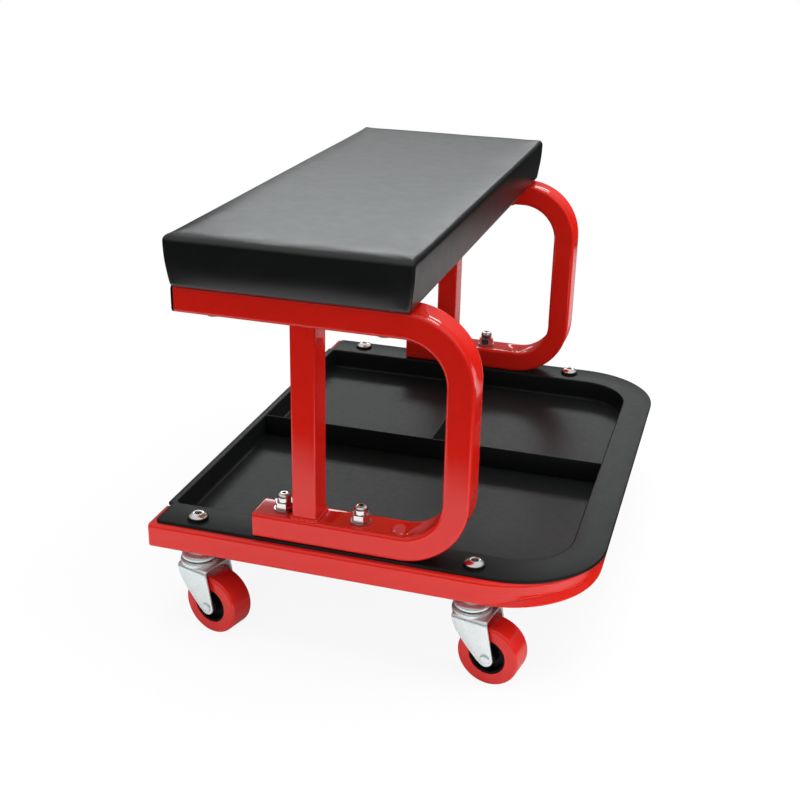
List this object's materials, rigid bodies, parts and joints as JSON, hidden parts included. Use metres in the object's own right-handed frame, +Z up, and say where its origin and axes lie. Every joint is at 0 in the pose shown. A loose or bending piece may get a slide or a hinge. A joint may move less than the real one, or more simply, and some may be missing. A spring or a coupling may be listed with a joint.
{
  "type": "rolling mechanic creeper seat",
  "caption": "Low rolling workshop seat: a long padded seat on bent-tube hoops above a U-shaped tube base with a divided tool tray and swivel casters.",
  "frame": {"origin": "on the floor under the middle of the base, which is also the bottom centre of the bounding box", "axes": "+X from the open end of the base to its bent end, +Y from the front hoop to the back hoop along the seat, +Z up"},
  "size_m": [0.3614, 0.4714, 0.3371],
  "materials": {
    "red_paint": "gloss enamel",
    "black_powder_coat": "satin powder coat",
    "black_plastic": "moulded",
    "black_rubber": "matt",
    "zinc": "bright zinc plate",
    "bearing_steel": "ground",
    "plywood": "plain plywood",
    "foam": null,
    "black_vinyl": null,
    "red_tyre": "smooth polyurethane"
  },
  "bodies": {
    "frame": {"base_frame": "red_paint", "base_end_caps": "red_paint", "tool_tray": "black_powder_coat", "tray_long_divider": "black_powder_coat", "tray_short_divider": "black_powder_coat", "front_hoop": "red_paint", "back_hoop": "red_paint", "front_post": "red_paint", "back_post": "red_paint", "hoop_end_plugs": "black_plastic", "hoop_foot_caps": "red_paint", "hoop_bolts": "zinc", "hoop_washers": "zinc", "hoop_lock_nuts": "zinc", "caster_bolts": "zinc", "caster_bolt_washers": "black_rubber", "caster_heads": "zinc", "caster_kingpins": "zinc", "seat_board": "plywood", "seat_foam": "foam", "seat_cover": "black_vinyl", "seat_screws": "zinc", "seat_tee_nuts": "zinc"},
    "front_left_swivel": {"front_left_fork": "zinc", "front_left_axle": "zinc", "front_left_sleeve": "bearing_steel"},
    "front_left_ball_ring": {"front_left_balls": "bearing_steel"},
    "front_left_wheel": {"front_left_hub": "black_plastic", "front_left_tyre": "red_tyre"},
    "front_right_swivel": {"front_right_fork": "zinc", "front_right_axle": "zinc", "front_right_sleeve": "bearing_steel"},
    "front_right_ball_ring": {"front_right_balls": "bearing_steel"},
    "front_right_wheel": {"front_right_hub": "black_plastic", "front_right_tyre": "red_tyre"},
    "back_left_swivel": {"back_left_fork": "zinc", "back_left_axle": "zinc", "back_left_sleeve": "bearing_steel"},
    "back_left_ball_ring": {"back_left_balls": "bearing_steel"},
    "back_left_wheel": {"back_left_hub": "black_plastic", "back_left_tyre": "red_tyre"},
    "back_right_swivel": {"back_right_fork": "zinc", "back_right_axle": "zinc", "back_right_sleeve": "bearing_steel"},
    "back_right_ball_ring": {"back_right_balls": "bearing_steel"},
    "back_right_wheel": {"back_right_hub": "black_plastic", "back_right_tyre": "red_tyre"}
  },
  "joints": [
    {"name": "front_left_swivel_turn", "type": "hinge", "parent": "frame", "child": "front_left_swivel", "pos_m": [-0.14425, -0.2125, 0.061], "axis": [0, 0, 1], "continuous": true},
    {"name": "front_left_wheel_roll", "type": "hinge", "parent": "front_left_swivel", "child": "front_left_wheel", "pos_m": [-0.12608, -0.21771, 0.0254], "axis": [0.2756, 0.9613, 0], "continuous": true},
    {"name": "front_left_ball_orbit", "type": "hinge", "parent": "frame", "child": "front_left_ball_ring", "pos_m": [-0.14425, -0.2125, 0.061], "axis": [0, 0, 1], "continuous": true},
    {"name": "front_right_swivel_turn", "type": "hinge", "parent": "frame", "child": "front_right_swivel", "pos_m": [0.08725, -0.2125, 0.061], "axis": [0, 0, 1], "continuous": true},
    {"name": "front_right_wheel_roll", "type": "hinge", "parent": "front_right_swivel", "child": "front_right_wheel", "pos_m": [0.10586, -0.21578, 0.0254], "axis": [0.1736, 0.9848, 0], "continuous": true},
    {"name": "front_right_ball_orbit", "type": "hinge", "parent": "frame", "child": "front_right_ball_ring", "pos_m": [0.08725, -0.2125, 0.061], "axis": [0, 0, 1], "continuous": true},
    {"name": "back_left_swivel_turn", "type": "hinge", "parent": "frame", "child": "back_left_swivel", "pos_m": [-0.14425, 0.2125, 0.061], "axis": [0, 0, 1], "continuous": true},
    {"name": "back_left_wheel_roll", "type": "hinge", "parent": "back_left_swivel", "child": "back_left_wheel", "pos_m": [-0.12608, 0.21771, 0.0254], "axis": [-0.2756, 0.9613, 0], "continuous": true},
    {"name": "back_left_ball_orbit", "type": "hinge", "parent": "frame", "child": "back_left_ball_ring", "pos_m": [-0.14425, 0.2125, 0.061], "axis": [0, 0, 1], "continuous": true},
    {"name": "back_right_swivel_turn", "type": "hinge", "parent": "frame", "child": "back_right_swivel", "pos_m": [0.08725, 0.2125, 0.061], "axis": [0, 0, 1], "continuous": true},
    {"name": "back_right_wheel_roll", "type": "hinge", "parent": "back_right_swivel", "child": "back_right_wheel", "pos_m": [0.10586, 0.21578, 0.0254], "axis": [-0.1736, 0.9848, 0], "continuous": true},
    {"name": "back_right_ball_orbit", "type": "hinge", "parent": "frame", "child": "back_right_ball_ring", "pos_m": [0.08725, 0.2125, 0.061], "axis": [0, 0, 1], "continuous": true}
  ],
  "couplings": [
    {"joint": "front_left_ball_orbit", "follows": "front_left_swivel_turn", "ratio": 0.5},
    {"joint": "front_right_ball_orbit", "follows": "front_right_swivel_turn", "ratio": 0.5},
    {"joint": "back_left_ball_orbit", "follows": "back_left_swivel_turn", "ratio": 0.5},
    {"joint": "back_right_ball_orbit", "follows": "back_right_swivel_turn", "ratio": 0.5}
  ]
}
